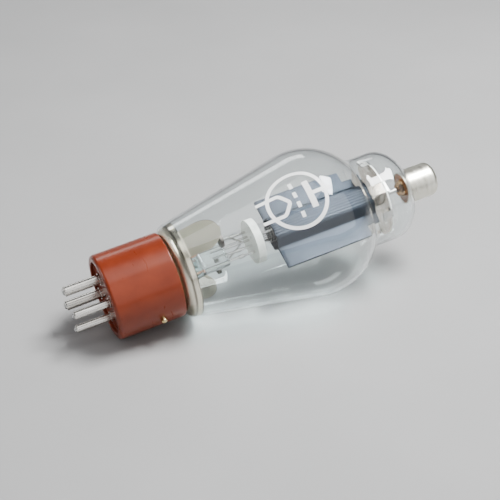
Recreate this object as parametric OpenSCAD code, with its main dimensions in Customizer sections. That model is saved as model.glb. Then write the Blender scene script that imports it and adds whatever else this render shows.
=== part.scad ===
// Shouldered-bulb power triode with a four-pin bayonet base and a top cap.
// Sizes are in millimetres. The tube's axis is +X, from the pins to the cap.
// x = 0 is the rim of the base, which rests on the socket. +Z is up as the
// tube lies on its side. Everything is drawn unturned and then rolled about
// the axis: unturned, the bayonet pin is on the -Y side and the anode faces +Z.

/* [View] */
// sub-part to draw

/* [Roll] */
// turn of the base and the electrodes about the axis, in degrees
roll = 28; // [0:1:90]

/* [Base] */
// outer radius of the base shell
shell_r = 17.45; // [17:0.05:18]
// length of the base shell
shell_len = 27.6; // [25:0.1:31]
// wall of the base shell
shell_wall = 1.8; // [1.2:0.1:2.5]
// rounding of the edge that meets the socket
shell_foot_round = 1.5; // [0.5:0.05:2.5]
// rounding of the edge that meets the glass
shell_lip_round = 0.6; // [0.3:0.1:1.5]
// radius of the shallow recess around the pins
recess_r = 14.7; // [13:0.1:15.5]
// depth of that recess
recess_depth = 1.6; // [0.5:0.1:3]
// thickness of the floor that holds the pins
web_t = 3.2; // [2:0.1:5]

/* [Pins] */
// radius of the two filament pins
thick_pin_r = 1.98; // [1.9:0.01:2.1]
// radius of the grid pin and the blank pin
thin_pin_r = 1.59; // [1.5:0.01:1.7]
// how far the pins stand out of the base
pin_len = 14.7; // [13:0.1:16]
// wall of the hollow pins
pin_wall = 0.6; // [0.4:0.05:0.8]
// half the distance from the filament pins' row to the thin pins' row
pin_half_y = 5.55; // [5.3:0.05:6]
// half the distance between the pins of one row
pin_half_z = 5.95; // [5.3:0.05:6.2]
// how far the collar at a pin's root stands out around it
pin_collar = 0.5; // [0.2:0.05:0.8]
// radius of the bayonet pin
bayonet_r = 1.2; // [1:0.05:1.4]
// place of the bayonet pin along the axis
bayonet_x = 17.6; // [15:0.1:20]
// turn of the bayonet pin towards the grid pin, from the middle of the thin pins, in degrees
bayonet_turn = 5; // [0:1:10]
// how far the bayonet pin stands out of the shell
bayonet_out = 2.3; // [1.5:0.05:2.5]

/* [Bulb] */
// thickness of the glass
glass_t = 1; // [0.7:0.1:1.5]
// outer radius of the neck inside the base
neck_r = 14.9; // [14:0.1:15.4]
// end of the neck inside the base
neck_x = 7.9; // [7:0.1:12]
// slope of the flare above the base, in degrees
flare_angle = 52; // [30:1:60]
// end of the flare, where the cone starts
flare_x = 31.5; // [29:0.1:38]
// slope of the cone, in degrees
cone_angle = 11.4; // [9:0.1:14]
// place of the widest ring
shoulder_x = 89.5; // [85:0.1:95]
// radius of the widest ring
shoulder_r = 30.7; // [29.5:0.1:31]
// radius of the arc over the shoulder
shoulder_arc = 25.5; // [20:0.5:30]
// radius of the arc into the waist
waist_arc = 7.4; // [5:0.1:10]
// radius of the glass above the waist
waist_r = 18.95; // [17:0.05:20]
// start of the dome
dome_x = 122.4; // [120:0.1:127]
// height of the dome
dome_h = 12.4; // [10:0.1:15]
// squareness of the dome, 2 being an ellipse
dome_n = 2.2; // [2:0.05:3]

/* [Stem] */
// outer radius of the stem tube
stem_r = 7.4; // [6:0.1:8.5]
// start of the flat press that holds the leads
press_x = 38.9; // [36:0.1:44]
// end of the press
press_end = 51.9; // [50:0.1:56]
// width of the press
press_w = 13; // [12:0.5:18]
// thickness of the press
press_t = 5; // [4:0.1:7]
// radius of the exhaust tube
exhaust_r = 1.9; // [1.5:0.1:3]

/* [Electrodes] */
// how far the press and the electrodes stand off the tube's axis
mount_y = 0.8; // [0:0.1:1.2]
// radius of the lead rods between the press and the lower insulator
rod_r = 0.5; // [0.3:0.05:0.8]
// radius of the lower insulator
low_disc_r = 9.2; // [8:0.1:11]
// place of the lower insulator
low_disc_x = 63.3; // [60:0.1:68]
// thickness of the lower insulator
low_disc_t = 3.2; // [1:0.1:6]
// start of the anode
anode_x = 72.6; // [72:0.1:76]
// end of the anode's full width
anode_step_x = 111.3; // [108:0.1:115]
// end of the anode
anode_end = 115.9; // [115:0.1:120]
// half the anode's full width
anode_half_w = 16.5; // [14:0.1:17.5]
// half the anode's width beyond the step
anode_end_half_w = 11.5; // [8:0.1:14]
// height of the flat wings' outer face, where the two halves lie on each other
wing_z = 0.5; // [0.45:0.05:1]
// half the width of the central channel where it meets the wings
channel_foot_w = 7.2; // [6:0.1:8]
// half the width of the channel's top
channel_half_w = 5; // [4.5:0.1:6]
// height of the channel's crown above the electrodes' middle plane
channel_z = 5.6; // [5.4:0.1:7]
// thickness of the anode sheet
sheet_t = 0.4; // [0.2:0.05:0.8]
// half the grid's width
grid_half_y = 2.4; // [2:0.1:3]
// distance of the grid's side rods from the axis
grid_half_z = 3.9; // [3:0.1:4]
// distance between the grid's turns
grid_pitch = 2; // [1:0.1:4]
// radius of the grid wire
grid_wire_r = 0.16; // [0.08:0.01:0.3]
// radius of the filament wire
filament_r = 0.18; // [0.1:0.01:0.3]
// place of the mica at the top
mica_x = 119.3; // [118:0.1:123]
// radius of the mica
mica_r = 15.8; // [14:0.1:17]
// thickness of the mica
mica_t = 0.6; // [0.2:0.1:1]

/* [Getter] */
// end of the mirror film inside the glass
flash_end = 48.9; // [45:0.1:62]
// thickness of the mirror film
flash_t = 0.12; // [0.05:0.01:0.3]

/* [Top cap] */
// radius of the cap
cap_r = 7.19; // [7:0.01:7.3]
// start of the cap's skirt
cap_x = 134.3; // [133:0.1:137]
// end of the cap
cap_end = 147.5; // [145:0.1:150]
// wall of the cap
cap_wall = 0.45; // [0.3:0.05:0.8]
// rounding of the cap's end
cap_round = 2.6; // [0.5:0.1:3]

/* [Hidden] */
$fn = 96;
web_end = recess_depth + web_t;
shell_bore = shell_r - shell_wall;
// how much wider the bore is at the lip, where the glass comes out
lip_open = 0.9;
tip_round = 0.55;

// bulb: centres of the arcs, each as [x, r]
shoulder_c = [shoulder_x, shoulder_r - shoulder_arc];
waist_drop = waist_r + waist_arc - shoulder_c[1];
waist_x = shoulder_x + sqrt(pow(shoulder_arc + waist_arc, 2) - pow(waist_drop, 2));
waist_c = [waist_x, waist_r + waist_arc];
waist_angle = atan2(waist_x - shoulder_x, waist_drop);
cone_end = shoulder_c + shoulder_arc * [-sin(cone_angle), cos(cone_angle)];
flare_arc = 3.5;
flare_end = [flare_x, cone_end[1] - (cone_end[0] - flare_x) * tan(cone_angle)];
flare_c = flare_end + flare_arc * [sin(cone_angle), -cos(cone_angle)];
flare_start = flare_c + flare_arc * [-sin(flare_angle), cos(flare_angle)];
neck_arc = 2.5;
neck_rise = neck_arc * (1 - cos(flare_angle));
neck_arc_x = flare_start[0] - (flare_start[1] - neck_r - neck_rise) / tan(flare_angle)
  - neck_arc * sin(flare_angle);

// lead rods through the press, as distances from the axis along Y
filament_rod_y = [5.2, -4.6];
grid_rod_y = 2.8;
support_rod_y = [1.2, -1.6];
rod_end = low_disc_x + low_disc_t + 1.6;
tab_t = 0.4;
tab_end = rod_end + tab_t;
sleeve_x = 56.3;
getter_x = 48.9;
getter_z = 11;
strand_z = [-2.7, -0.9, 0.9, 2.7];
hook_z = [for (s = [-1, 1]) s * (strand_z[2] + strand_z[3]) / 2];
filament_top = mica_x - 1.6;
arm_z = channel_z - sheet_t - 0.15;
arm_start = anode_end - 2;
bar_x = mica_x + mica_t + 2.2;
bar_t = 2.4;
strap_x = bar_x + bar_t + 0.5;

// points of the bulb's outline, inset by w: neck, flare, cone, shoulder, waist, dome
function neck_points(w) = concat(
  [[neck_x, neck_r - w]],
  [for (a = [0:6:flare_angle])
    [neck_arc_x, neck_r + neck_arc] + (neck_arc + w) * [sin(a), -cos(a)]],
  [for (a = [flare_angle:-6:cone_angle + 1]) flare_c + (flare_arc - w) * [-sin(a), cos(a)]],
  [flare_c + (flare_arc - w) * [-sin(cone_angle), cos(cone_angle)]]);
function shoulder_points(w) = concat(
  [for (i = [0:14]) let (a = -cone_angle + (waist_angle + cone_angle) * i / 14)
    shoulder_c + (shoulder_arc - w) * [sin(a), cos(a)]],
  [for (i = [1:8]) let (a = waist_angle * (1 - i / 8))
    waist_c - (waist_arc + w) * [sin(a), cos(a)]]);
function dome_points(w, hole) = concat(
  [for (a = [0:5:80]) [dome_x + (dome_h - w) * pow(sin(a), 2 / dome_n),
    (waist_r - w) * pow(cos(a), 2 / dome_n)]],
  [[dome_x + dome_h - w, hole]]);
function bulb_points(w, hole) = concat(neck_points(w), shoulder_points(w), dome_points(w, hole));
function reversed(p) = [for (i = [len(p) - 1:-1:0]) p[i]];
// points of a quarter round between two angles around c, as [x, r]
function round_points(c, r, from, to) =
  [for (i = [0:5]) let (a = from + (to - from) * i / 5) c + r * [cos(a), sin(a)]];

// turned body from points given as [x, r]
module lathe(points) {
  rotate([0, 90, 0]) rotate_extrude() polygon([for (p = points) [p[1], p[0]]]);
}

// cylinder along the tube's axis from x0 to x1
module rod(x0, x1, r, y = 0, z = 0) {
  translate([x0, y, z]) rotate([0, 90, 0]) cylinder(h = x1 - x0, r = r);
}

// round wire through points, with a ball at each bend
module wire(points, r) {
  for (i = [0:len(points) - 2]) {
    d = points[i + 1] - points[i];
    translate(points[i])
      rotate([0, acos(d[2] / norm(d)), atan2(d[1], d[0])])
        cylinder(h = norm(d), r = r);
  }
  for (i = [1:len(points) - 2]) translate(points[i]) sphere(r * 1.2);
}

// flat outline in Y and Z, drawn out along the tube's axis
module drawn(x0, length) {
  translate([x0, 0, 0]) rotate([90, 0, 90]) linear_extrude(length) children();
}

module rolled() {
  rotate([roll, 0, 0]) children();
}

// the press and the electrodes, which stand a little off the axis
module mounted() {
  rolled() translate([0, mount_y, 0]) children();
}

// ---------- base ----------

// along the bayonet pin, outwards from the axis
module bayonet_way() {
  translate([bayonet_x, 0, 0]) rotate([90 - bayonet_turn, 0, 0]) children();
}

module base_shell() {
  outline = concat(
    [[0, recess_r]],
    reversed(round_points([shell_foot_round, shell_r - shell_foot_round], shell_foot_round, 90, 180)),
    round_points([shell_len - shell_lip_round, shell_r - shell_lip_round], shell_lip_round, 90, 0),
    [[shell_len, shell_bore + lip_open], [shell_len - 1.4, shell_bore],
      [web_end, shell_bore], [web_end, 0],
      [recess_depth, 0], [recess_depth, recess_r]]);
  color([0.62, 0.22, 0.11]) rolled() difference() {
    lathe(outline);
    for (z = [-pin_half_z, pin_half_z]) {
      rod(0, web_end + 1, thick_pin_r, pin_half_y, z);
      rod(0, web_end + 1, thin_pin_r, -pin_half_y, z);
    }
    bayonet_way() cylinder(h = 30, r = bayonet_r);
  }
}

// hollow pin with a collar on each side of the base's floor
module pin(r, y, z) {
  tube_end = -pin_len + 0.7;
  outline = concat(
    [[tube_end, r - pin_wall]],
    round_points([tube_end + tip_round, r - tip_round], tip_round, 180, 90),
    [[0.3, r], [0.3, r + pin_collar], [recess_depth, r + pin_collar], [recess_depth, r],
      [web_end, r], [web_end, r + pin_collar], [web_end + 0.6, r + pin_collar],
      [web_end + 0.6, r - pin_wall]]);
  color([0.78, 0.77, 0.74]) rolled() translate([0, y, z]) lathe(outline);
}

module filament_pin_1() { pin(thick_pin_r, pin_half_y, pin_half_z); }

module filament_pin_2() { pin(thick_pin_r, pin_half_y, -pin_half_z); }

module grid_pin() { pin(thin_pin_r, -pin_half_y, pin_half_z); }

module blank_pin() { pin(thin_pin_r, -pin_half_y, -pin_half_z); }

// solder plug that closes a pin's end with a low dome
module solder_plug(r, y, z) {
  bore = r - pin_wall;
  outline = concat(
    [[-pin_len + 2.2, 0], [-pin_len + 2.2, bore]],
    [for (a = [90:-15:0]) [-pin_len + 0.7 - 0.7 * cos(a), bore * sin(a)]]);
  translate([0, y, z]) lathe(outline);
}

module pin_solder() {
  color([0.72, 0.72, 0.7]) rolled() for (z = [-pin_half_z, pin_half_z]) {
    solder_plug(thick_pin_r, pin_half_y, z);
    solder_plug(thin_pin_r, -pin_half_y, z);
  }
}

module bayonet_pin() {
  tip = shell_r + bayonet_out;
  color([0.85, 0.78, 0.55]) rolled() bayonet_way()
    rotate_extrude() polygon(concat(
      [[0, shell_bore - 0.5], [bayonet_r + 0.5, shell_bore - 0.5],
        [bayonet_r + 0.5, shell_bore - 0.1], [bayonet_r, shell_bore - 0.1]],
      [for (a = [0:15:75]) [bayonet_r * cos(a), tip - 0.8 + 0.8 * sin(a)]],
      [[0, tip]]));
}

module basing_cement() {
  color([0.72, 0.66, 0.55]) lathe([[19, neck_r], [19, shell_bore],
    [25, shell_bore], [25, neck_r]]);
}

// ---------- glass ----------

module bulb() {
  color([0.85, 0.92, 0.95, 0.35])
    lathe(concat(bulb_points(0, 1.1), reversed(bulb_points(glass_t, 1.1))));
}

// flared tube with a flat press, bored for the leads
module stem() {
  wall = 1.2;
  outline = [[neck_x, neck_r - glass_t], [neck_x + 1.5, neck_r - glass_t], [neck_x + 6, stem_r + 2.2],
    [neck_x + 12, stem_r], [press_x + 3, stem_r], [press_x + 3, 0],
    [press_x, 0], [press_x, stem_r - wall], [neck_x + 12, stem_r - wall],
    [neck_x + 5, stem_r + 1], [neck_x, neck_r - glass_t - 2]];
  color([0.8, 0.9, 0.92, 0.5]) rolled() difference() {
    union() {
      lathe(outline);
      drawn(press_x, press_end - press_x) translate([mount_y, 0]) {
        square([press_w - press_t, press_t], center = true);
        for (s = [-1, 1]) translate([s * (press_w - press_t) / 2, 0]) circle(press_t / 2);
      }
    }
    for (y = concat(filament_rod_y, [grid_rod_y]))
      rod(press_x - 2, press_end + 1, rod_r, mount_y + y);
    for (y = support_rod_y) rod(press_end - 6, press_end + 1, rod_r, mount_y + y);
    rod(press_x - 1, press_x + 2, exhaust_r - 0.8);
  }
}

module exhaust_tube() {
  tip_x = 13;
  color([0.8, 0.9, 0.92, 0.5]) lathe(concat(
    [[press_x, exhaust_r - 0.8], [press_x, exhaust_r]],
    [for (a = [90:-15:0]) [tip_x + 3 - 3 * cos(a), exhaust_r * sin(a)]],
    [for (a = [0:15:90]) [tip_x + 3 - 2 * cos(a), (exhaust_r - 0.8) * sin(a)]]));
}

// ---------- leads ----------

// lead from the press down into a pin
module feed(points) {
  color([0.75, 0.45, 0.3]) rolled() wire(points, 0.4);
}

module filament_feed_1() {
  feed([[press_x + 2, mount_y + filament_rod_y[0], 0], [29, 4.9, 0], [16, 4.9, 0],
    [9, pin_half_y, pin_half_z], [-pin_len + 3, pin_half_y, pin_half_z]]);
}

module filament_feed_2() {
  feed([[press_x + 2, mount_y + filament_rod_y[1], 0], [28.5, -4.5, 0], [16.5, -4.4, 0],
    [9, pin_half_y, -pin_half_z], [-pin_len + 3, pin_half_y, -pin_half_z]]);
}

module grid_feed() {
  feed([[press_x + 2, mount_y + grid_rod_y, 0], [33, grid_rod_y, 0], [27, 1, 4.3],
    [16, 0, 5], [9, -pin_half_y, pin_half_z], [-pin_len + 3, -pin_half_y, pin_half_z]]);
}

module lead_rod(x0, y) {
  color([0.75, 0.75, 0.73]) mounted() rod(x0, rod_end, rod_r, y);
}

module filament_rod_1() { lead_rod(press_x + 2.2, filament_rod_y[0]); }

module filament_rod_2() { lead_rod(press_x + 2.2, filament_rod_y[1]); }

module grid_rod() { lead_rod(press_x + 2.2, grid_rod_y); }

module support_rods() {
  for (y = support_rod_y) lead_rod(press_end - 6, y);
}

// welded sleeves where each rod is joined to its lead
module rod_sleeves() {
  color([0.8, 0.8, 0.78]) mounted() for (y = concat(filament_rod_y, [support_rod_y[1]]))
    translate([sleeve_x, y, 0]) rotate([0, 90, 0]) difference() {
      cylinder(h = 2, r = rod_r + 0.35);
      translate([0, 0, -1]) cylinder(h = 4, r = rod_r);
    }
}

module lower_insulator() {
  color([0.9, 0.9, 0.86]) mounted() difference() {
    rod(low_disc_x, low_disc_x + low_disc_t, low_disc_r);
    for (y = concat(filament_rod_y, [grid_rod_y], support_rod_y))
      rod(low_disc_x - 1, low_disc_x + low_disc_t + 1, rod_r, y);
    for (z = [-grid_half_z, grid_half_z])
      rod(low_disc_x - 1, low_disc_x + low_disc_t + 1, rod_r, 0, z);
  }
}

// ---------- getter ----------

module getter_pans() {
  color([0.5, 0.48, 0.45]) mounted() for (s = [-1, 1])
    translate([getter_x, 0, s * getter_z]) rotate([0, 90, 0]) difference() {
      cylinder(h = 1.2, r = 3);
      translate([0, 0, 0.4]) cylinder(h = 2, r = 2.5);
    }
}

module getter_posts() {
  color([0.7, 0.7, 0.68]) mounted() for (s = [-1, 1])
    wire([[sleeve_x + 3.4, support_rod_y[0], s * (rod_r + 0.45)], [getter_x + 4, 0, s * getter_z],
      [getter_x + 1.3, 0, s * getter_z]], 0.35);
}

// film that lines the neck of the bulb
module getter_flash() {
  inner = flare_c + (flare_arc - glass_t) * [-sin(cone_angle), cos(cone_angle)];
  edge = [for (p = neck_points(glass_t)) if (p[0] > shell_len - 1) p];
  film = concat(edge, [inner + [flash_end - inner[0], (flash_end - inner[0]) * tan(cone_angle)]]);
  color([0.6, 0.58, 0.52]) lathe(concat(film, [for (p = reversed(film)) p - [0, flash_t]]));
}

// ---------- grid and filament ----------

module grid_side_rods() {
  color([0.7, 0.7, 0.7]) mounted() for (z = [-grid_half_z, grid_half_z])
    rod(low_disc_x, mica_x + mica_t + 0.6, rod_r, 0, z);
}

// one turn of the grid: a flattened ring just outside the side rods
module grid_turn(x) {
  straight = grid_half_z + rod_r + grid_wire_r - grid_half_y;
  translate([x, 0, 0]) {
    for (y = [-grid_half_y, grid_half_y])
      translate([0, y, -straight]) cylinder(h = 2 * straight, r = grid_wire_r);
    for (s = [-1, 1]) translate([0, 0, s * straight]) rotate([0, 90, 0])
      rotate([0, 0, s > 0 ? 90 : -90])
        rotate_extrude(angle = 180) translate([grid_half_y, 0]) circle(grid_wire_r);
  }
}

module grid_winding() {
  color([0.6, 0.6, 0.58]) mounted()
    for (x = [anode_x - 1.5:grid_pitch:arm_start - 0.5]) grid_turn(x);
}

// strip that ties the grid's side rods to its lead
module grid_strap() {
  color([0.75, 0.75, 0.75]) mounted() difference() {
    union() {
      drawn(rod_end - 0.6, 0.4) square([2.4, 2 * grid_half_z + 2.4], center = true);
      drawn(rod_end - 0.6, 0.4) translate([grid_rod_y / 2, 0])
        square([grid_rod_y + 1.6, 1.8], center = true);
    }
    for (z = [-grid_half_z, grid_half_z]) rod(rod_end - 2, rod_end + 1, rod_r, 0, z);
    rod(rod_end - 2, rod_end + 1, rod_r, grid_rod_y);
    for (y = support_rod_y) rod(rod_end - 2, rod_end + 1, rod_r + 0.1, y);
  }
}

// two hairpins, which stand on the tabs and hang from the hooks
module filament() {
  color([0.45, 0.44, 0.42]) mounted() for (i = [0, 2]) {
    middle = (strand_z[i] + strand_z[i + 1]) / 2;
    wire([[tab_end, 0, strand_z[i]], [filament_top - 1, 0, strand_z[i]],
      [filament_top, 0, middle], [filament_top - 1, 0, strand_z[i + 1]],
      [tab_end, 0, strand_z[i + 1]]], filament_r);
  }
}

// strips from the filament rods to the outer strands, and one between the inner strands
module filament_tabs() {
  color([0.72, 0.72, 0.7]) mounted() {
    for (i = [0, 1]) {
      way = [-filament_rod_y[i], strand_z[i == 0 ? 3 : 0]];
      drawn(rod_end, tab_t) translate([filament_rod_y[i], 0]) rotate(atan2(way[1], way[0]))
        translate([-0.6, -0.6]) square([norm(way) + 1.1, 1.2]);
    }
    drawn(rod_end, tab_t) square([1, strand_z[2] - strand_z[1] + 1], center = true);
  }
}

// hooks that hold the hairpins, hung from the bar above the mica
module filament_hooks() {
  color([0.6, 0.6, 0.58]) mounted() for (z = hook_z) {
    wire([[bar_x + bar_t + 0.4, 0, z], [filament_top + 0.75, 0, z], [filament_top + 0.2, 0.6, z],
      [filament_top - 0.4, 0.5, z]], 0.2);
  }
}

module hook_bar() {
  color([0.9, 0.9, 0.86]) mounted() difference() {
    translate([bar_x, -2, -grid_half_z - 0.5]) cube([bar_t, 4, 2 * grid_half_z + 1]);
    for (z = hook_z) rod(bar_x - 1, bar_x + bar_t + 1, 0.25, 0, z);
  }
}

// ---------- anode ----------

// sheet outline of the anode's front half: flat wings and a channel with leaning sides
module anode_section(half_w) {
  crown_r = 24;
  crown_z = channel_z - crown_r;
  top = asin(channel_half_w / crown_r);
  lean = atan2(channel_foot_w - channel_half_w, crown_z + crown_r * cos(top) - wing_z);
  // the sheet's thickness as seen along Y on a leaning side
  side_t = sheet_t * (1 - sin(lean)) / cos(lean);
  function edge(t) = let (in = t > 0 ? side_t : 0) concat(
    [[half_w, wing_z - t], [channel_foot_w - in, wing_z - t],
      [channel_half_w - in, crown_z + crown_r * cos(top) - t]],
    [for (i = [1:7]) let (a = top * (1 - i / 4)) [(crown_r - t) * sin(a),
      crown_z + (crown_r - t) * cos(a)]],
    [[-channel_half_w + in, crown_z + crown_r * cos(top) - t],
      [-channel_foot_w + in, wing_z - t], [-half_w, wing_z - t]]);
  polygon(concat(edge(0), reversed(edge(sheet_t))));
}

module anode_half() {
  color([0.66, 0.69, 0.72]) {
    drawn(anode_x, anode_step_x - anode_x) anode_section(anode_half_w);
    drawn(anode_step_x, anode_end - anode_step_x) anode_section(anode_end_half_w);
  }
}

module anode_front() { mounted() anode_half(); }

module anode_back() { mounted() rotate([180, 0, 0]) anode_half(); }

// yoke from the anode's two halves to the lead on the axis
module anode_strap() {
  color([0.72, 0.73, 0.74]) mounted() difference() {
    union() {
      for (s = [-1, 1])
        translate([arm_start, -2.4, s > 0 ? arm_z - 0.5 : -arm_z])
          cube([strap_x + 0.5 - arm_start, 4.8, 0.5]);
      translate([strap_x, -2.4, -arm_z]) cube([0.5, 4.8, 2 * arm_z]);
    }
    rod(strap_x - 1, strap_x + 2, 1, -mount_y);
  }
}

module upper_insulator() {
  color([0.82, 0.76, 0.66, 0.6]) rolled() difference() {
    rod(mica_x, mica_x + mica_t, mica_r);
    for (z = [-grid_half_z, grid_half_z]) rod(mica_x - 1, mica_x + 2, rod_r, mount_y, z);
    for (s = [-1, 1]) translate([mica_x - 1, mount_y - 2.6, s * (arm_z - 0.25) - 0.35])
      cube([3, 5.2, 0.7]);
    for (z = hook_z) rod(mica_x - 1, mica_x + 2, 0.45, mount_y, z);
  }
}

// spring fingers on the mica's rim, bent back towards the anode to press on the glass
module bulb_spacers() {
  finger = 5.2;
  color([0.7, 0.7, 0.7]) for (a = [84:90:354]) rotate([a, 0, 0]) {
    translate([mica_x + mica_t, -1.5, mica_r - 3]) cube([0.25, 3, 3.4]);
    translate([mica_x + mica_t - finger, -1.5, mica_r + 0.15]) cube([finger, 3, 0.25]);
    translate([mica_x + mica_t - finger, -1.5, mica_r + 0.4]) cube([0.8, 3, 1.3]);
  }
}

// ---------- top ----------

module anode_lead() {
  color([0.7, 0.7, 0.7]) rod(strap_x - 0.3, cap_end - 0.6, 1);
}

module seal_bead() {
  crown = dome_points(glass_t, 1);
  rim = crown[len(crown) - 2];
  color([0.55, 0.36, 0.2, 0.8]) lathe(concat(
    [crown[len(crown) - 1], rim],
    [for (a = [80:-10:0]) [rim[0] - 3.2 * cos(a), 1 + (rim[1] - 1) * sin(a)]]));
}

module cap_cement() {
  color([0.7, 0.55, 0.4]) lathe([[dome_x + dome_h, 1], [dome_x + dome_h, 4],
    [cap_x + 0.4, cap_r - cap_wall], [cap_x + 4, cap_r - cap_wall], [cap_x + 4, 1]]);
}

module top_cap() {
  color([0.8, 0.79, 0.75]) lathe(concat(
    [[cap_x, cap_r - cap_wall], [cap_x, cap_r]],
    round_points([cap_end - cap_round, cap_r - cap_round], cap_round, 90, 0),
    [[cap_end, 1.4], [cap_end - cap_wall, 1.4]],
    round_points([cap_end - cap_round, cap_r - cap_round], cap_round - cap_wall, 0, 90)));
}

module cap_solder() {
  color([0.75, 0.75, 0.74]) lathe(concat(
    [[cap_end - cap_wall, 1], [cap_end - cap_wall, 1.4], [cap_end, 1.4], [cap_end, 2.2]],
    [for (a = [70:-14:0]) [cap_end + 0.5 * cos(a), 2.2 * sin(a)]],
    [[cap_end - 0.6, 0], [cap_end - 0.6, 1]]));
}

base_shell();
filament_pin_1();
filament_pin_2();
grid_pin();
blank_pin();
pin_solder();
bayonet_pin();
basing_cement();
bulb();
stem();
exhaust_tube();
filament_feed_1();
filament_feed_2();
grid_feed();
filament_rod_1();
filament_rod_2();
grid_rod();
support_rods();
rod_sleeves();
lower_insulator();
getter_pans();
getter_posts();
getter_flash();
grid_side_rods();
grid_winding();
grid_strap();
filament();
filament_tabs();
filament_hooks();
hook_bar();
anode_front();
anode_back();
anode_strap();
upper_insulator();
bulb_spacers();
anode_lead();
seal_bead();
cap_cement();
top_cap();
cap_solder();
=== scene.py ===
import math

import bmesh
import bpy
from mathutils import Matrix, Vector, noise


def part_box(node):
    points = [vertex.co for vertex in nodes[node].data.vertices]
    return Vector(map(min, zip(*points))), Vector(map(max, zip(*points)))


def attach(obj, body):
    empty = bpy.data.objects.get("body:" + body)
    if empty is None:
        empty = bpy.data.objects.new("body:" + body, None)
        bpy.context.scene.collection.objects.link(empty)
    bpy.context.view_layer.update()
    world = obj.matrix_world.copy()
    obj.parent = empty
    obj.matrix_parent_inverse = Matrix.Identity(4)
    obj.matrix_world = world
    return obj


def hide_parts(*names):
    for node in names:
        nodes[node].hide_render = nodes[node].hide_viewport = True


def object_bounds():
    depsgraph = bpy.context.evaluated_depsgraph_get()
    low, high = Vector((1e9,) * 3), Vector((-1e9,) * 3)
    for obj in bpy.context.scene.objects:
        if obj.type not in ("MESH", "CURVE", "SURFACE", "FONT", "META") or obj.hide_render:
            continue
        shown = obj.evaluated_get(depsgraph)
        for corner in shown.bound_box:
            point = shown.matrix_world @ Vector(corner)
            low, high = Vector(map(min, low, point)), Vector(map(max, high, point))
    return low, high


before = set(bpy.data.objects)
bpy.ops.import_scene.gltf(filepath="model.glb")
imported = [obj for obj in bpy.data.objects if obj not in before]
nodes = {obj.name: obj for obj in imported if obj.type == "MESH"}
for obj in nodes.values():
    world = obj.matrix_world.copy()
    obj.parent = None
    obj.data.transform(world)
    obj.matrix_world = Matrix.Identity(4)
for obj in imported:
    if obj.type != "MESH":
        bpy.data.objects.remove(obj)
cad_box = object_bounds()

# Sizes shared with the CAD are given in its millimetres; Blender's unit is the metre.
MM = 0.001

# ---------- where things are ----------

# The tube lies on the rim of its base and on the shoulder of the bulb, so the floor leans in
# the tube's own frame.
FLOOR_LEAN = math.radians(8.55)
FLOOR_NORMAL = Vector((math.sin(FLOOR_LEAN), 0, math.cos(FLOOR_LEAN)))
BASE_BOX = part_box("base_shell")
BASE_R = BASE_BOX[1].z
FLOOR_POINT = Vector((0, 0, -BASE_R))
MIDDLE = (cad_box[0] + cad_box[1]) / 2

# The roll of the electrodes about the tube's axis, as the front anode half faces.
ROLL = math.radians(28)

# The press and the electrodes stand this far off the tube's axis, across the anode.
MOUNT_Y = 0.0008

# The anode's front faces this way round the axis; angles go from -Y up to +Z.
FRONT = math.radians(90) - ROLL
BACK = FRONT + math.pi


def floor_frame(azimuth, elevation):
    """Unit vector from the tube to a place, by bearing (from -Y to -X) and height in degrees."""
    along = Vector((math.cos(FLOOR_LEAN), 0, -math.sin(FLOOR_LEAN)))
    a, e = math.radians(azimuth), math.radians(elevation)
    level = -math.sin(a) * along + math.cos(a) * Vector((0, -1, 0))
    return math.cos(e) * level + math.sin(e) * FLOOR_NORMAL


def aim(thing, spot, target):
    """Puts a camera or lamp at spot, looking at target, with the floor level in its view."""
    back = (spot - target).normalized()
    right = FLOOR_NORMAL.cross(back).normalized()
    up = back.cross(right)
    turn = Matrix((right, up, back)).transposed().to_4x4()
    thing.matrix_world = Matrix.Translation(spot) @ turn


def around(x, r, angle):
    """Point at x along the axis and r from it, at an angle from -Y up to +Z."""
    return Vector((x, -r * math.cos(angle), r * math.sin(angle)))


def electrode_point(x, y, z):
    """A point given unturned from the electrodes' middle, in metres, as it stands in the tube."""
    y += MOUNT_Y
    across = y * math.cos(ROLL) - z * math.sin(ROLL)
    upwards = y * math.sin(ROLL) + z * math.cos(ROLL)
    return Vector((x, across, upwards))


# ---------- lists of points ----------


def span(a, b, steps):
    """Points in a straight line from a to b, with both ends."""
    return [tuple(p + (q - p) * i / steps for p, q in zip(a, b)) for i in range(steps + 1)]


def arc(centre, radius, start, end, steps):
    """[x, r] points round a centre; the angle is measured from +r towards +x."""
    return [
        (centre[0] + radius * math.sin(a), centre[1] + radius * math.cos(a))
        for a in (start + (end - start) * i / steps for i in range(steps + 1))
    ]


def rounded_path(points, radius, steps=6):
    """A path with each corner replaced by a curve that starts and ends a radius from it."""
    out = [points[0]]
    for a, b, c in zip(points, points[1:], points[2:]):
        back = math.dist(a, b)
        ahead = math.dist(b, c)
        cut = min(radius, back / 2, ahead / 2)
        start = [b[k] + (a[k] - b[k]) * cut / back for k in (0, 1)]
        end = [b[k] + (c[k] - b[k]) * cut / ahead for k in (0, 1)]
        for i in range(steps + 1):
            t = i / steps
            near, corner, far = (1 - t) ** 2, 2 * t * (1 - t), t * t
            out.append(tuple(near * start[k] + corner * b[k] + far * end[k] for k in (0, 1)))
    out.append(points[-1])
    return out


def supported(points, gap=0.12):
    """Adds a point close to each end of a long straight run, to keep smooth shading there."""
    out = [points[0]]
    for a, b in zip(points, points[1:]):
        length = math.dist(a, b)
        if length > 3 * gap:
            for t in (gap / length, 1 - gap / length):
                out.append(tuple(a[k] + (b[k] - a[k]) * t for k in (0, 1)))
        out.append(b)
    return out


def smooth_step(value, low, high):
    """0 below low and 1 above high, with a soft rise between them."""
    t = min(1.0, max(0.0, (value - low) / (high - low)))
    return t * t * (3 - 2 * t)


# ---------- meshes ----------


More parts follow.
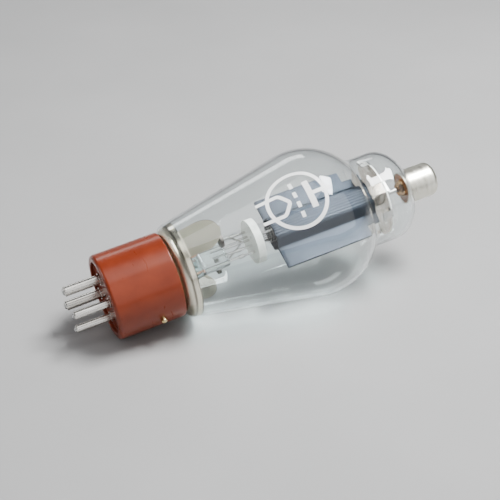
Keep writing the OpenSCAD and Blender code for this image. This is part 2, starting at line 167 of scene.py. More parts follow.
def mesh_object(name, verts, faces, smooth=True):
    """New object in the scene from points in metres and the faces between them."""
    mesh = bpy.data.meshes.new(name)
    mesh.from_pydata(verts, [], faces)
    mesh.validate()
    mesh.update()
    if smooth:
        mesh.polygons.foreach_set("use_smooth", [True] * len(mesh.polygons))
    thing = bpy.data.objects.new(name, mesh)
    bpy.context.scene.collection.objects.link(thing)
    return thing


def lattice(rows, columns, join_rows=False, join_columns=False):
    """Faces between neighbouring rows of points; what is joined closes on itself."""
    faces = []
    for i in range(rows if join_rows else rows - 1):
        j = (i + 1) % rows
        for k in range(columns if join_columns else columns - 1):
            n = (k + 1) % columns
            faces.append((i * columns + k, i * columns + n, j * columns + n, j * columns + k))
    return faces


def end_caps(rows, columns):
    """The two faces that close a tube made of rows of points."""
    last = range((rows - 1) * columns, rows * columns)
    return [tuple(reversed(range(columns))), tuple(last)]


def turned(name, profile, segments, closed=False, wobble=None):
    """Surface of revolution about the tube's axis from [x, r] points in metres."""
    verts = []
    for i in range(segments):
        angle = 2 * math.pi * i / segments
        for x, r in profile:
            grow = wobble(x, angle) if wobble else 0
            verts.append(around(x, r + grow, angle))
    faces = lattice(segments, len(profile), join_rows=True, join_columns=closed)
    return mesh_object(name, verts, faces)


def turned_solid(name, corners, rounding):
    """Turned body from [x, r] corners in millimetres, on the axis at both ends or closed."""
    segments, bend_steps = 192, 5
    outline = supported(rounded_path(corners, rounding, bend_steps))
    thing = turned(name, [(x * MM, r * MM) for x, r in outline], segments)
    clean(thing)
    return thing


def wire(name, path, radius, sides):
    """Round wire along a list of points, with the same frame carried from point to point."""
    verts = []
    side = None
    for i, point in enumerate(path):
        before = path[max(i - 1, 0)]
        after = path[min(i + 1, len(path) - 1)]
        along = (after - before).normalized()
        if side is None:
            side = along.orthogonal().normalized()
        side = (side - along * side.dot(along)).normalized()
        other = along.cross(side)
        for s in range(sides):
            a = 2 * math.pi * s / sides
            verts.append(point + radius * (math.cos(a) * side + math.sin(a) * other))
    faces = lattice(len(path), sides, join_columns=True) + end_caps(len(path), sides)
    return mesh_object(name, verts, faces)


def ribbon(name, path, angle, half_w, thick):
    """Thin strip along an [x, r] path in millimetres, in the plane through the axis at angle."""
    side = Vector((0, math.sin(angle), math.cos(angle)))
    verts = []
    for i, (x, r) in enumerate(path):
        x0, r0 = path[max(i - 1, 0)]
        x1, r1 = path[min(i + 1, len(path) - 1)]
        length = math.hypot(x1 - x0, r1 - r0)
        nx, nr = -(r1 - r0) / length * thick / 2, (x1 - x0) / length * thick / 2
        for s, t in ((-1, -1), (1, -1), (1, 1), (-1, 1)):
            centre = around((x + t * nx) * MM, (r + t * nr) * MM, angle)
            verts.append(centre + side * s * half_w * MM)
    faces = lattice(len(path), 4, join_columns=True) + end_caps(len(path), 4)
    thing = mesh_object(name, verts, faces, smooth=False)
    clean(thing)
    bevel = thing.modifiers.new("edges", "BEVEL")
    bevel.width = thick * MM * 0.3
    bevel.segments = 2
    return thing


def clean(thing):
    """Merges points that fall together, and turns every face outwards."""
    bm = bmesh.new()
    bm.from_mesh(thing.data)
    bmesh.ops.remove_doubles(bm, verts=bm.verts, dist=0.000001)
    bmesh.ops.recalc_face_normals(bm, faces=bm.faces)
    bm.to_mesh(thing.data)
    bm.free()


def drop_loose(thing):
    """Deletes the points that no face uses."""
    bm = bmesh.new()
    bm.from_mesh(thing.data)
    bmesh.ops.delete(bm, geom=[v for v in bm.verts if not v.link_faces], context="VERTS")
    bm.to_mesh(thing.data)
    bm.free()


def thicken(thing, thickness):
    """Gives a sheet its thickness, half to each side."""
    solid = thing.modifiers.new("thickness", "SOLIDIFY")
    solid.thickness = thickness
    solid.offset = 0


def place(thing, slot, material, *replaced):
    """Makes a new piece ride on the tube, with its finish and the CAD nodes it stands for."""
    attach(thing, "root")
    thing.data.materials.append(material)
    if replaced:
        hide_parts(*replaced)


def dress(material, *names):
    """Gives carried-over CAD nodes their finish."""
    for name in names:
        mesh = nodes[name].data
        mesh.materials.clear()
        mesh.materials.append(material)
        mesh.polygons.foreach_set("material_index", [0] * len(mesh.polygons))


# ---------- the bulb's outline, in millimetres as in the CAD ----------

NECK_X, NECK_R, NECK_ARC = 7.9, 14.9, 2.5
FLARE_X, FLARE_ANGLE, FLARE_ARC = 31.5, math.radians(52), 3.5
CONE_ANGLE = math.radians(11.4)
SHOULDER_X, SHOULDER_ARC = 89.5, 25.5
SHOULDER_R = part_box("bulb")[1].z / MM
WAIST_R, WAIST_ARC = 18.95, 7.4
# The dome is part of a superellipse with the exponent DOME_N.
DOME_X, DOME_H, DOME_N = 122.4, 12.4, 2.2
DOME_STEPS, DOME_END = 32, math.radians(88)
GLASS_T = 1.0
CROWN_HOLE = 1.1


def bulb_profile(inset):
    """[x, r] points in metres from the neck's rim to the crown, inset by a wall thickness."""
    shoulder = (SHOULDER_X, SHOULDER_R - SHOULDER_ARC)
    drop = WAIST_R + WAIST_ARC - shoulder[1]
    waist_x = SHOULDER_X + math.sqrt((SHOULDER_ARC + WAIST_ARC) ** 2 - drop**2)
    waist = (waist_x, WAIST_R + WAIST_ARC)
    waist_angle = math.atan2(waist_x - SHOULDER_X, drop)
    cone_x = shoulder[0] - SHOULDER_ARC * math.sin(CONE_ANGLE)
    cone_r = shoulder[1] + SHOULDER_ARC * math.cos(CONE_ANGLE)
    flare_r = cone_r - (cone_x - FLARE_X) * math.tan(CONE_ANGLE)
    flare = (
        FLARE_X + FLARE_ARC * math.sin(CONE_ANGLE),
        flare_r - FLARE_ARC * math.cos(CONE_ANGLE),
    )
    start = (
        flare[0] - FLARE_ARC * math.sin(FLARE_ANGLE),
        flare[1] + FLARE_ARC * math.cos(FLARE_ANGLE),
    )
    rise = NECK_ARC * (1 - math.cos(FLARE_ANGLE))
    run = (start[1] - NECK_R - rise) / math.tan(FLARE_ANGLE)
    neck_x = start[0] - run - NECK_ARC * math.sin(FLARE_ANGLE)
    neck = (neck_x, NECK_R + NECK_ARC)

    points = span((NECK_X, NECK_R - inset), (neck_x, NECK_R - inset), 6)[:-1]
    points += arc(neck, NECK_ARC + inset, math.pi, math.pi - FLARE_ANGLE, 8)
    points += arc(flare, FLARE_ARC - inset, -FLARE_ANGLE, -CONE_ANGLE, 10)
    shoulder_arc = arc(shoulder, SHOULDER_ARC - inset, -CONE_ANGLE, waist_angle, 48)
    points += span(points[-1], shoulder_arc[0], 24)[1:-1]
    points += shoulder_arc
    points += arc(waist, WAIST_ARC + inset, math.pi + waist_angle, math.pi, 20)[1:]
    points += span(points[-1], (DOME_X, WAIST_R - inset), 6)[1:-1]
    for i in range(DOME_STEPS + 1):
        a = DOME_END * i / DOME_STEPS
        x = DOME_X + (DOME_H - inset) * math.sin(a) ** (2 / DOME_N)
        points.append((x, (WAIST_R - inset) * math.cos(a) ** (2 / DOME_N)))
    points.append((DOME_X + DOME_H - inset, CROWN_HOLE))
    return [(x * MM, r * MM) for x, r in points]


def glass_radius(x, inset):
    """Radius of the bulb's face at x, in metres, with the face inset by a wall thickness."""
    points = bulb_profile(inset)
    for (x0, r0), (x1, r1) in zip(points, points[1:]):
        if x0 <= x <= x1 and x1 > x0:
            return r0 + (r1 - r0) * (x - x0) / (x1 - x0)
    return points[-1][1]


# ---------- materials ----------


class Paint:
    """A material's node tree, with short calls for the nodes used here."""

    def __init__(self, name, metallic=0.0, roughness=0.4):
        self.material = bpy.data.materials.new(name)
        self.material.use_nodes = True
        self.tree = self.material.node_tree
        self.shader = self.tree.nodes["Principled BSDF"]
        self.shader.inputs["Metallic"].default_value = metallic
        self.shader.inputs["Roughness"].default_value = roughness

    def add(self, kind, **values):
        node = self.tree.nodes.new(kind)
        for key, value in values.items():
            setattr(node, key, value)
        return node

    def link(self, source, target):
        self.tree.links.new(source, target)

    def put(self, source, target):
        """Links a socket to the target, or sets the target to a colour or a number."""
        if hasattr(source, "is_linked"):
            self.link(source, target)
        elif hasattr(source, "__len__"):
            target.default_value = (*source, 1)
        else:
            target.default_value = source

    def noise(self, scale, detail=4, stretch=(1, 1, 1)):
        """Noise, in features per metre; stretch above 1 makes it finer that way."""
        coords = self.add("ShaderNodeTexCoord")
        mapping = self.add("ShaderNodeMapping")
        mapping.inputs["Scale"].default_value = stretch
        texture = self.add("ShaderNodeTexNoise")
        texture.inputs["Scale"].default_value = scale
        texture.inputs["Detail"].default_value = detail
        texture.inputs["Roughness"].default_value = 0.55
        self.link(coords.outputs["Object"], mapping.inputs["Vector"])
        self.link(mapping.outputs["Vector"], texture.inputs["Vector"])
        return texture.outputs["Fac"]

    def attribute(self, name):
        return self.add("ShaderNodeAttribute", attribute_name=name).outputs["Fac"]

    def ramp(self, factor, *stops):
        """Colours along a factor; each stop is a place and a grey or a colour."""
        node = self.add("ShaderNodeValToRGB")
        elements = node.color_ramp.elements
        while len(elements) < len(stops):
            elements.new(0.5)
        for element, (at, colour) in zip(elements, stops):
            parts = colour if hasattr(colour, "__len__") else (colour, colour, colour)
            element.position = at
            element.color = (*parts, 1)
        self.link(factor, node.inputs["Fac"])
        return node.outputs["Color"]

    def mix(self, factor, a, b):
        node = self.add("ShaderNodeMix", data_type="RGBA")
        self.put(factor, node.inputs["Factor"])
        self.put(a, node.inputs["A"])
        self.put(b, node.inputs["B"])
        return node.outputs["Result"]

    def math(self, operation, a, b=0.5):
        node = self.add("ShaderNodeMath", operation=operation)
        self.put(a, node.inputs[0])
        self.put(b, node.inputs[1])
        return node.outputs["Value"]

    def bump(self, height, distance, strength):
        node = self.add("ShaderNodeBump")
        node.inputs["Distance"].default_value = distance
        node.inputs["Strength"].default_value = strength
        self.link(height, node.inputs["Height"])
        self.link(node.outputs["Normal"], self.shader.inputs["Normal"])

    def colour(self, source):
        self.link(source, self.shader.inputs["Base Color"])

    def rough(self, source):
        self.link(source, self.shader.inputs["Roughness"])

    def blend(self, factor, first, second):
        """Mixes two shaders by a factor into the material's surface."""
        choose = self.add("ShaderNodeMixShader")
        surface = self.tree.nodes["Material Output"].inputs["Surface"]
        self.link(factor, choose.inputs["Fac"])
        self.link(first.outputs["BSDF"], choose.inputs[1])
        self.link(second.outputs["BSDF"], choose.inputs[2])
        self.link(choose.outputs["Shader"], surface)


def metal(name, light, dark, roughness, streaks=(1, 1, 1), scale=900, relief=0.00001):
    """Bare or plated metal: fine lines along one way, cloudy tarnish and small scratches."""
    paint = Paint(name, metallic=1.0)
    clouds = paint.noise(160, 5)
    lines = paint.noise(scale, 3, streaks)
    mixed = paint.math("MULTIPLY", clouds, lines)
    paint.colour(paint.ramp(mixed, (0.12, dark), (0.42, light)))
    paint.rough(paint.ramp(lines, (0.3, roughness * 0.75), (0.7, roughness * 1.35)))
    paint.bump(lines, relief, 0.6)
    return paint.material


def glass(name, tint, wave=0.00006, scale=28, ior=1.5):
    """Clear glass with faint drawing waves. Lamps shine through it, to light what is inside."""
    paint = Paint(name, roughness=0.0)
    paint.shader.inputs["Transmission Weight"].default_value = 1.0
    paint.shader.inputs["IOR"].default_value = ior
    smears = paint.noise(scale * 6, 3, (0.3, 1, 1))
    paint.colour(paint.ramp(smears, (0.3, tint), (0.8, [min(1, c * 1.03) for c in tint])))
    waves = paint.noise(scale, 2, (0.25, 1, 1))
    paint.bump(waves, wave, 1.0)
    clear = paint.add("ShaderNodeBsdfTransparent")
    clear.inputs["Color"].default_value = (*[c * 0.97 for c in tint], 1)
    rays = paint.add("ShaderNodeLightPath")
    paint.blend(rays.outputs["Is Shadow Ray"], paint.shader, clear)
    return paint.material


def phenolic():
    """Moulded red-brown phenolic: cloudy pigment, darker flecks, hairlines and a glossy skin."""
    paint = Paint("phenolic")
    clouds = paint.noise(90, 6)
    flecks = paint.noise(2600, 2)
    body = paint.ramp(clouds, (0.3, (0.19, 0.036, 0.016)), (0.7, (0.25, 0.052, 0.023)))
    fleck = paint.ramp(flecks, (0.62, 0.0), (0.72, 0.12))
    paint.colour(paint.mix(fleck, body, (0.14, 0.02, 0.008)))
    scratches = paint.noise(420, 3, (1, 0.25, 0.25))
    paint.rough(paint.ramp(scratches, (0.3, 0.27), (0.8, 0.31)))
    paint.bump(scratches, 0.000001, 0.1)
    paint.shader.inputs["Coat Weight"].default_value = 0.15
    paint.shader.inputs["Coat Roughness"].default_value = 0.12
    return paint.material


def matt(name, light, dark, scale=700, relief=0.00006, roughness=0.75):
    """Grainy matt stuff, such as cement or fired ceramic."""
    paint = Paint(name, roughness=roughness)
    grain = paint.noise(scale, 6)
    clouds = paint.noise(scale / 6, 3)
    fine = paint.math("MULTIPLY", grain, 0.6)
    coarse = paint.math("MULTIPLY", clouds, 0.4)
    paint.colour(paint.ramp(paint.math("ADD", fine, coarse), (0.35, dark), (0.65, light)))
    paint.rough(paint.ramp(grain, (0.3, roughness * 0.85), (0.7, min(1, roughness * 1.15))))
    paint.bump(grain, relief, 0.8)
    return paint.material


def coated_sheet():
    """Anode sheet: rolled metal with a thin grey coat, brushed along the tube and cloudy."""
    paint = Paint("anode_sheet", metallic=0.6)
    spray = paint.noise(2400, 3)
    clouds = paint.noise(70, 4, (0.5, 1, 1))
    lines = paint.noise(1500, 3, (0.04, 1, 1))
    base = paint.ramp(clouds, (0.3, (0.034, 0.042, 0.056)), (0.7, (0.056, 0.066, 0.086)))
    specks = paint.ramp(spray, (0.45, 0.0), (0.75, 0.3))
    speckled = paint.mix(specks, base, (0.04, 0.047, 0.06))
    streaks = paint.ramp(lines, (0.35, 0.15), (0.65, 0.0))
    paint.colour(paint.mix(streaks, speckled, (0.045, 0.053, 0.066)))
    paint.rough(paint.ramp(lines, (0.3, 0.4), (0.7, 0.48)))
    paint.bump(paint.math("ADD", spray, lines), 0.000003, 0.5)
    return paint.material


def mica():
    """Cleaved mica: clear, faintly brown and layered, with bright flakes and a frayed rim."""
    paint = Paint("mica")
    paint.shader.inputs["IOR"].default_value = 1.56
    flakes = paint.noise(260, 5)
    split = paint.add("ShaderNodeSeparateXYZ")
    paint.link(paint.add("ShaderNodeTexCoord").outputs["Object"], split.inputs["Vector"])
    across = paint.math("POWER", split.outputs["Y"], 2)
    upwards = paint.math("POWER", split.outputs["Z"], 2)
    reach = paint.math("SQRT", paint.math("ADD", across, upwards))
    frayed = paint.math("ADD", reach, paint.math("MULTIPLY", flakes, 0.0003))
    rim = paint.math("GREATER_THAN", frayed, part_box("upper_insulator")[1].z - 0.00003)
    see_through = paint.ramp(rim, (0.0, 0.92), (1.0, 0.1))
    paint.link(see_through, paint.shader.inputs["Transmission Weight"])
    paint.rough(paint.ramp(rim, (0.0, 0.08), (1.0, 0.5)))
    body = paint.ramp(flakes, (0.35, (0.74, 0.64, 0.54)), (0.65, (0.93, 0.89, 0.84)))
    paint.colour(paint.mix(rim, body, (0.95, 0.93, 0.9)))
    paint.bump(flakes, 0.00003, 0.6)
    return paint.material


def enamel():
    """White print on the glass, slightly thin in places."""
    paint = Paint("enamel", roughness=0.45)
    specks = paint.noise(3000, 3)
    paint.colour(paint.ramp(specks, (0.3, (0.86, 0.88, 0.88)), (0.5, (0.96, 0.96, 0.95))))
    paint.bump(specks, 0.00001, 0.6)
    return paint.material


def getter_mirror():
    """Barium film: bright round the neck, duller in its two patches, with a thin dark fringe and
    a thin dark line running round inside the bright ring.
    """
    paint = Paint("getter_mirror", metallic=1.0)
    coverage = paint.attribute("coverage")
    fringe = paint.attribute("fringe")
    dull = paint.attribute("dull")
    grain = paint.noise(900, 4)
    clouds = paint.noise(90, 4)
    bright = paint.ramp(clouds, (0.3, (0.8, 0.74, 0.6)), (0.7, (0.94, 0.89, 0.77)))
    patch = paint.ramp(clouds, (0.3, (0.17, 0.158, 0.125)), (0.7, (0.22, 0.205, 0.165)))
    film = paint.mix(dull, bright, patch)
    paint.link(paint.ramp(dull, (0.0, 0.95), (1.0, 0.35)), paint.shader.inputs["Metallic"])
    paint.colour(paint.mix(fringe, film, (0.07, 0.045, 0.03)))
    mirror_rough = paint.ramp(grain, (0.3, 0.17), (0.7, 0.25))
    patch_rough = paint.ramp(grain, (0.3, 0.5), (0.7, 0.62))
    paint.rough(paint.mix(dull, mirror_rough, patch_rough))
    paint.bump(clouds, 0.00002, 0.4)
    bite = paint.math("MULTIPLY", paint.math("SUBTRACT", grain, 0.5), 0.25)
    ragged = paint.math("ADD", coverage, bite)
    share = paint.ramp(ragged, (0.35, 0.0), (0.62, 1.0))
    paint.blend(share, paint.add("ShaderNodeBsdfTransparent"), paint.shader)
    return paint.material


# ---------- pieces ----------


def bulb_glass(material):
    """The glass envelope, blown a little unevenly, always inwards from its outline."""
    outer = bulb_profile(0)
    inner = bulb_profile(GLASS_T)
    waves_along, waves_round, depth = 18, 0.7, 0.00006

    def uneven(x, angle):
        round_y, round_z = math.cos(angle) * waves_round, math.sin(angle) * waves_round
        return -depth * (1 + noise.noise(Vector((x * waves_along, round_y, round_z))))

    wall = outer + inner[::-1]
    thing = turned("bulb_glass", wall, segments=160, closed=True, wobble=uneven)
    place(thing, "bulb_glass", material, "bulb")


def getter_film(material):
    """Film inside the neck: a full ring low down and a rounded patch opposite each pan."""
    low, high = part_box("getter_flash")[0].x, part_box("getter_flash")[1].x
    ring_end, soft_below, soft_above = 0.0341, 0.0008, 0.0006
    # A thin dark line runs round the film near the flare: where it lies along the tube, its solid
    # middle, its soft reach and how dark it is.
    dark_line_x, dark_line_core, dark_line_edge, dark_line_strength = 0.0316, 0.0001, 0.0006, 0.75
    round_start = high - 0.0088
    half_degrees, turn_offset = 20, math.radians(3)
    crisp, faded = 0.04, 0.16
    off_glass, thickness = 0.00006, 0.00003
    steps, segments = 90, 240
    verts = []
    values = {"coverage": [], "fringe": [], "dull": []}
    for i in range(segments):
        angle = 2 * math.pi * i / segments
        for k in range(steps + 1):
            x = low + (high - low) * k / steps
            verts.append(around(x, glass_radius(x, GLASS_T) - off_glass, angle))
            ring = 1 - smooth_step(x, ring_end - soft_below, ring_end + soft_above)
            patch = 0
            for facing in (FRONT, BACK):
                away = (angle - facing - turn_offset + math.pi) % (2 * math.pi) - math.pi
                turn = math.degrees(away) / half_degrees
                above = max(0, x - round_start) / (high - round_start)
                soft = crisp if turn < 0 else faded
                reach = math.hypot(above, turn)
                patch = max(patch, 1 - smooth_step(reach, 1 - soft, 1))
            edge = 1 - smooth_step(max(ring, patch), 0.4, 1)
            line = 1 - smooth_step(abs(x - dark_line_x), dark_line_core, dark_line_edge)
            values["coverage"].append(max(ring, patch))
            values["fringe"].append(max(edge, dark_line_strength * line))
            values["dull"].append(max(0, patch - ring))
    coverage = values["coverage"]
    quads = lattice(segments, steps + 1, join_rows=True)
    faces = [quad for quad in quads if any(coverage[corner] > 0 for corner in quad)]
    thing = mesh_object("getter_film", verts, faces)
    for key, numbers in values.items():
        layer = thing.data.attributes.new(key, "FLOAT", "POINT")
        layer.data.foreach_set("value", numbers)
    drop_loose(thing)
    thicken(thing, thickness)
    place(thing, "getter_mirror", material, "getter_flash")


def grid_helix(material):
    """Fine wire wound in flattened turns round the two side rods."""
    low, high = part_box("grid_winding")[0].x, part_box("grid_winding")[1].x
    half_y, half_z = 0.0024, 0.0046
    square_y, square_z = 0.75, 0.9
    pitch, wire_r, per_turn = 0.00115, 0.00012, 28
    turns = int((high - low - 2 * wire_r) / pitch)
    path = []
    for i in range(turns * per_turn + 1):
        a = 2 * math.pi * i / per_turn
        c, s = math.cos(a), math.sin(a)
        y = math.copysign(abs(c) ** square_y, c) * half_y
        z = math.copysign(abs(s) ** square_z, s) * half_z
        path.append(electrode_point(low + wire_r + pitch * i / per_turn, y, z))
    place(wire("grid_helix", path, wire_r, sides=6), "grid_wire", material, "grid_winding")


def stem_body(material):
    """The stem: a tube that flares to the bulb's rim and is pinched flat round the leads."""
    rim_x, rim_r, tube_x, tube_r, wall = 7.9, 13.9, 19.9, 7.4, 1.2
    pinch_start, pinch_end, press_end = 32.9, 41.9, 51.9
    half_w, half_t, least_t = 6.5, 2.5, 0.35
    rounded_end, narrower, thinner = 0.9, 0.5, 0.6
    flare_power = 2.4
    segments, step, outer_steps, inner_steps = 72, 0.4, 109, 82

    def section(x, inset):
        flare = max(0, 1 - (x - rim_x) / (tube_x - rim_x))
        radius = tube_r + (rim_r - tube_r) * flare**flare_power - inset
        pinch = smooth_step(x, pinch_start, pinch_end)
        end = smooth_step(x, press_end - rounded_end, press_end)
        w = half_w - inset - narrower * end**2
        t = max(least_t, half_t - inset) - thinner * end**2
        middle = MOUNT_Y / MM * (pinch - 1)
        ring = []
        for i in range(segments):
            a = 2 * math.pi * (i + 0.5) / segments
            c, s = math.cos(a), math.sin(a)
            flat_y = math.copysign(w - t, c) + t * c
            y = radius * c + (flat_y - radius * c) * pinch
            z = radius * s + (t * s - radius * s) * pinch
            ring.append(electrode_point(x * MM, (y + middle) * MM, z * MM))
        return ring

    outer = [rim_x + step * i for i in range(outer_steps)]
    outer += [press_end - step, press_end - step / 2, press_end]
    inner = [rim_x + step * i for i in range(inner_steps)]
    rings = [section(x, 0) for x in reversed(outer)] + [section(x, wall) for x in inner]
    verts = [point for ring in rings for point in ring]
    faces = lattice(len(rings), segments, join_columns=True) + end_caps(len(rings), segments)
    thing = mesh_object("stem_body", verts, faces)
    clean(thing)
    place(thing, "stem_glass", material, "stem")


def base_body(material):
    """The moulded base: a barrel with a rounded foot, a recess for the pins and a thin lip."""
    length = BASE_BOX[1].x / MM
    outer, bore, recess, depth, web = BASE_R / MM, 15.65, 14.7, 1.6, 4.8
    foot_r, lip_t, lip_depth = 1.5, 0.9, 1.4
    foot = arc((foot_r, outer - foot_r), foot_r, 0, -math.pi / 2, 12)
    corners = [(depth, 0), (depth, recess), (0, recess), *foot[::-1], (length, outer)]
    corners += [(length, bore + lip_t), (length - lip_depth, bore), (web, bore), (web, 0)]
    place(turned_solid("base_body", corners, rounding=0.5), "phenolic", material, "base_shell")


def cap_body(material):
    """The top cap: a drawn metal cup with a rounded end and a hole that the solder fills."""
    low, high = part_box("top_cap")
    start, end, outer = low.x / MM, high.x / MM, high.z / MM
    wall, curl, hole = 0.45, 2.6, 1.4
    curl_x, curl_r = end - curl, outer - curl
    outside = arc((curl_x, curl_r), curl, 0, math.pi / 2, 14)
    inside = [
        (x + (curl_x - x) * wall / curl, r + (curl_r - r) * wall / curl) for x, r in outside
    ]
    rim = (start, outer - wall)
    corners = [rim, (start, outer), *outside, (end, hole), (end - wall, hole)]
    corners += [*inside[::-1], rim]
    place(turned_solid("cap_body", corners, rounding=0.16), "cap_plate", material, "top_cap")


def anode_sheets(material):
    """The anode's two pressed halves: flat wings and a channel with leaning sides."""
    low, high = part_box("anode_front")
    start, end, step = low.x / MM, high.x / MM, 111.3
    wing, wing_end, foot, wing_z = 16.5, 11.5, 7.1, 0.3
    crown_r, crown_z, crown_half = 23.8, -18.4, math.radians(11.6)
    bend, margin, sheet_t, edge_r = 0.7, 0.01, 0.38, 0.07
    ripple_height, ripple_along, ripple_across, ripple_seed = 0.05, 0.09, 0.2, 7
    crown = arc((0, crown_z), crown_r, -crown_half, crown_half, 8)
    corners = [(-wing, wing_z), (-foot, wing_z), *crown, (foot, wing_z), (wing, wing_z)]
    bends = rounded_path(corners, bend, 5)
    # Columns of the flat wings, with one at wing_end, where the step cuts them.
    flats = [wing, wing - 0.8, wing_end + 0.4, wing_end, wing_end - 0.8, foot + 1.5]
    section = [(-y, wing_z) for y in flats]
    section += [point for point in bends if abs(point[0]) <= foot + 1]
    section += [(y, wing_z) for y in reversed(flats)]
    columns = len(section)
    stations = [start + (step - start) * i / 24 for i in range(25)]
    stations += [step + (end - step) * i / 3 for i in (1, 2, 3)]

    def kept(quad):
        """Past the step only the narrow middle of the sheet goes on."""
        narrow = all(abs(section[corner % columns][0]) <= wing_end + margin for corner in quad)
        return stations[quad[0] // columns] < step - margin or narrow

    for name, side in (("anode_front", 1), ("anode_back", -1)):
        verts = []
        for x in stations:
            for y, z in section:
                spot = Vector((x * ripple_along, y * ripple_across, side * ripple_seed))
                rise = z + ripple_height * noise.noise(spot)
                verts.append(electrode_point(x * MM, side * y * MM, side * rise * MM))
        faces = [quad for quad in lattice(len(stations), columns) if kept(quad)]
        thing = mesh_object(name + "_sheet", verts, faces)
        thicken(thing, sheet_t * MM)
        bevel = thing.modifiers.new("edges", "BEVEL")
        bevel.width = edge_r * MM
        bevel.segments = 2
        bevel.limit_method = "ANGLE"
        bevel.angle_limit = math.radians(50)
        place(thing, "anode_metal", material, name)


def spring_fingers(material):
    """Four sprung strips on the mica's rim, bent back and out to press on the glass."""
    corners = [(120.03, 12.9), (120.03, 16.1), (115.3, 16.05), (114.8, 17.3), (115.8, 17.55)]
    bend, half_w, thick = 0.7, 1.5, 0.25
    path = rounded_path(corners, bend)
    for i, angle in enumerate((6, 96, 186, 276)):
        name = "spring_finger_%d" % (i + 1)
        finger = ribbon(name, path, math.radians(angle), half_w, thick)
        replaced = ("bulb_spacers",) if i == 0 else ()
        place(finger, "nickel", material, *replaced)


def mark(material):
    """The print on the glass, as a plain circuit symbol of a triode in thin enamel lines."""
    # Sizes are in metres: u runs along the tube and v round it, both from the print's centre.
    centre_x, centre_angle = 0.0792, math.radians(56)
    lift, thick, half = 0.00002, 0.00005, 0.00075
    ring_r, ring_step = 0.0115, 4
    plate_x, plate_reach, plate_half, plate_lead = 0.0055, 0.0056, 0.0012, 0.0143
    dashes, dash_start, dash_end, dash_pitch = 4, -0.0077, -0.0052, 0.0042
    lead_x, bend_x, tip_x, hairpin_reach = -0.0155, -0.0062, -0.0027, 0.0045
    bend_r, bend_steps, support, steps = 0.0012, 8, 0.0004, 12
    middle_r = glass_radius(centre_x, 0)

    def on_glass(u, v, raise_by):
        x = centre_x + u
        return around(x, glass_radius(x, 0) + raise_by, centre_angle + v / middle_r)

    bm = bmesh.new()

    def stroke(points, half_width=half):
        rails = []
        for i, (u, v) in enumerate(points):
            before = points[max(i - 1, 0)]
            after = points[min(i + 1, len(points) - 1)]
            du, dv = after[0] - before[0], after[1] - before[1]
            length = math.hypot(du, dv)
            nu, nv = -dv / length * half_width, du / length * half_width
            rail = []
            for side, up in ((-1, 0), (1, 0), (1, 1), (-1, 1)):
                point = on_glass(u + side * nu, v + side * nv, lift + up * thick)
                rail.append(bm.verts.new(point))
            rails.append(rail)
        for a, b in zip(rails, rails[1:]):
            for k in range(4):
                bm.faces.new((a[k], a[(k + 1) % 4], b[(k + 1) % 4], b[k]))
        bm.faces.new(rails[0])
        bm.faces.new(rails[-1][::-1])

    turns = [math.radians(a) for a in range(0, 361, ring_step)]
    stroke([(ring_r * math.cos(a), ring_r * math.sin(a)) for a in turns])
    stroke(span((plate_x, -plate_reach), (plate_x, plate_reach), steps), plate_half)
    stroke(span((plate_x, 0), (plate_lead, 0), steps))
    for i in range(dashes):
        shift = dash_pitch * i
        stroke(span((0, dash_start + shift), (0, dash_end + shift), steps))
    hairpin = [(lead_x, -hairpin_reach), (bend_x, -hairpin_reach), (tip_x, 0)]
    hairpin += [(bend_x, hairpin_reach), (lead_x, hairpin_reach)]
    stroke(supported(rounded_path(hairpin, bend_r, bend_steps), support))
    bmesh.ops.recalc_face_normals(bm, faces=bm.faces)
    mesh = bpy.data.meshes.new("mark")
    bm.to_mesh(mesh)
    bm.free()
    thing = bpy.data.objects.new("mark", mesh)
    bpy.context.scene.collection.objects.link(thing)
    place(thing, "bulb_glass", material)


# ---------- the bulb, its film and print, and the grid ----------

bulb_glass(glass("bulb_glass", (0.95, 0.978, 0.98)))
getter_film(getter_mirror())
grid_metal = metal("grid_metal", (0.62, 0.61, 0.58), (0.3, 0.29, 0.27), 0.3, (0.2, 1, 1))
grid_helix(grid_metal)
dress(grid_metal, "filament_hooks")
mark(enamel())

# ---------- the base, its pins, solder and cement ----------

base_body(phenolic())
pin_plate = metal(
    "pin_plate", (0.9, 0.88, 0.84), (0.72, 0.7, 0.66), 0.24, (0.06, 1, 1), relief=0.000002
)
dress(pin_plate, "filament_pin_1", "filament_pin_2", "grid_pin", "blank_pin")
solder = metal("solder", (0.75, 0.75, 0.74), (0.4, 0.4, 0.4), 0.35)
dress(solder, "pin_solder", "cap_solder")
dress(metal("pale_brass", (0.9, 0.8, 0.52), (0.5, 0.38, 0.18), 0.2), "bayonet_pin")
dress(matt("basing_cement", (0.55, 0.42, 0.3), (0.36, 0.26, 0.17)), "basing_cement")
dress(matt("cap_cement", (0.5, 0.2, 0.06), (0.27, 0.09, 0.025)), "cap_cement")

# ---------- the inner glass, wires, rods and insulators ----------

stem_glass = glass("stem_glass", (0.88, 0.95, 0.95), 0.0001, 60, 1.56)
stem_body(stem_glass)
dress(stem_glass, "exhaust_tube")
dress(glass("bead_glass", (0.8, 0.5, 0.26), 0.0001, 120), "seal_bead")
copper = metal("copper_clad", (0.85, 0.5, 0.36), (0.4, 0.16, 0.1), 0.35)
dress(copper, "filament_feed_1", "filament_feed_2", "grid_feed")
nickel = metal("nickel", (0.88, 0.87, 0.85), (0.62, 0.6, 0.58), 0.18, (0.1, 1, 1))
dress(nickel, "filament_rod_1", "filament_rod_2", "grid_rod", "support_rods", "rod_sleeves")
dress(nickel, "getter_posts", "grid_side_rods", "grid_strap", "filament_tabs")
dress(nickel, "anode_strap", "anode_lead")
spring_fingers(nickel)
ceramic = matt("fired_ceramic", (0.86, 0.86, 0.82), (0.72, 0.72, 0.68), 900, 0.00002, 0.5)
dress(ceramic, "lower_insulator", "hook_bar")
dress(metal("getter_steel", (0.36, 0.34, 0.32), (0.12, 0.1, 0.09), 0.45), "getter_pans")
dress(metal("tungsten", (0.32, 0.31, 0.3), (0.12, 0.12, 0.12), 0.5), "filament")

# ---------- the anode, the mica and the cap ----------

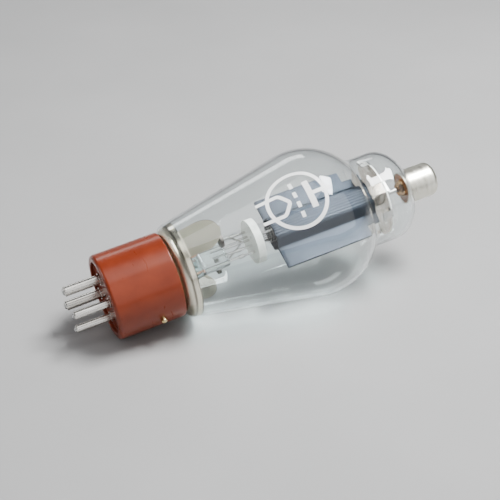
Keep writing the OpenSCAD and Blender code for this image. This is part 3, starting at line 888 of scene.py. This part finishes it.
anode_sheets(coated_sheet())
dress(mica(), "upper_insulator")
cap_plate = metal(
    "cap_plate", (0.9, 0.89, 0.81), (0.74, 0.72, 0.63), 0.34, (1, 0.15, 0.15), 700, 0.000001
)
cap_body(cap_plate)

# ---------- floor, light and camera ----------

# Each lamp: bearing and height in degrees, distance and size in metres, power in watts.
LAMPS = {
    "key": (285, 65.5, 0.8, (0.4, 0.22), 11),
    "back": (186, 27, 1.1, (0.6, 0.22), 1.1),
    "left": (112, 18, 1.0, (0.4, 0.2), 2),
    "front": (345, 33, 1.4, (2.8, 1.4), 10),
    "top": (60, 80, 1.1, (0.8, 0.6), 1.8),
}


def floor():
    """A wide pale disc that the tube lies on."""
    paint = Paint("floor", roughness=0.85)
    paint.colour(paint.ramp(paint.noise(9, 3), (0.3, 0.37), (0.7, 0.4)))
    bpy.ops.mesh.primitive_circle_add(vertices=96, radius=1.7, fill_type="NGON")
    disc = bpy.context.object
    disc.name = "floor"
    disc.data.materials.append(paint.material)
    disc.rotation_euler = (0, FLOOR_LEAN, 0)
    height = (MIDDLE - FLOOR_POINT).dot(FLOOR_NORMAL)
    disc.location = MIDDLE - FLOOR_NORMAL * height


def softbox(name, bearing, height, distance, size, power):
    """A soft rectangular lamp, aimed at the tube's middle."""
    lamp = bpy.data.lights.new(name, "AREA")
    lamp.shape = "RECTANGLE"
    lamp.size, lamp.size_y = size
    lamp.energy = power
    thing = bpy.data.objects.new(name, lamp)
    bpy.context.scene.collection.objects.link(thing)
    aim(thing, MIDDLE + floor_frame(bearing, height) * distance, MIDDLE)


def room():
    """The room round the floor: pale walls that darken towards the ceiling."""
    world = bpy.data.worlds.new("room")
    world.use_nodes = True
    tree = world.node_tree
    direction = tree.nodes.new("ShaderNodeTexCoord")
    height = tree.nodes.new("ShaderNodeVectorMath")
    height.operation = "DOT_PRODUCT"
    height.inputs[1].default_value = FLOOR_NORMAL
    shade = tree.nodes.new("ShaderNodeValToRGB")
    low, high = shade.color_ramp.elements
    low.position, low.color = 0.05, (0.2, 0.203, 0.21, 1)
    high.position, high.color = 0.4, (0.075, 0.078, 0.084, 1)
    tree.links.new(direction.outputs["Generated"], height.inputs[0])
    tree.links.new(height.outputs["Value"], shade.inputs["Fac"])
    tree.links.new(shade.outputs["Color"], tree.nodes["Background"].inputs["Color"])
    return world


def camera():
    """The camera: in front of the tube, above it and a little to the pins' side."""
    bearing, height, distance = 23.83, 31.65, 0.4734
    target = Vector((0.0625, 0, -0.0027))
    data = bpy.data.cameras.new("camera")
    data.sensor_width = 36
    data.lens = 84.24
    data.clip_start, data.clip_end = 0.01, 20
    thing = bpy.data.objects.new("camera", data)
    bpy.context.scene.collection.objects.link(thing)
    aim(thing, target + floor_frame(bearing, height) * distance, target)
    bpy.context.scene.camera = thing


floor()
for lamp_name, settings in LAMPS.items():
    softbox(lamp_name, *settings)
bpy.context.scene.world = room()
bpy.context.scene.view_settings.look = "AgX - Medium High Contrast"
camera()
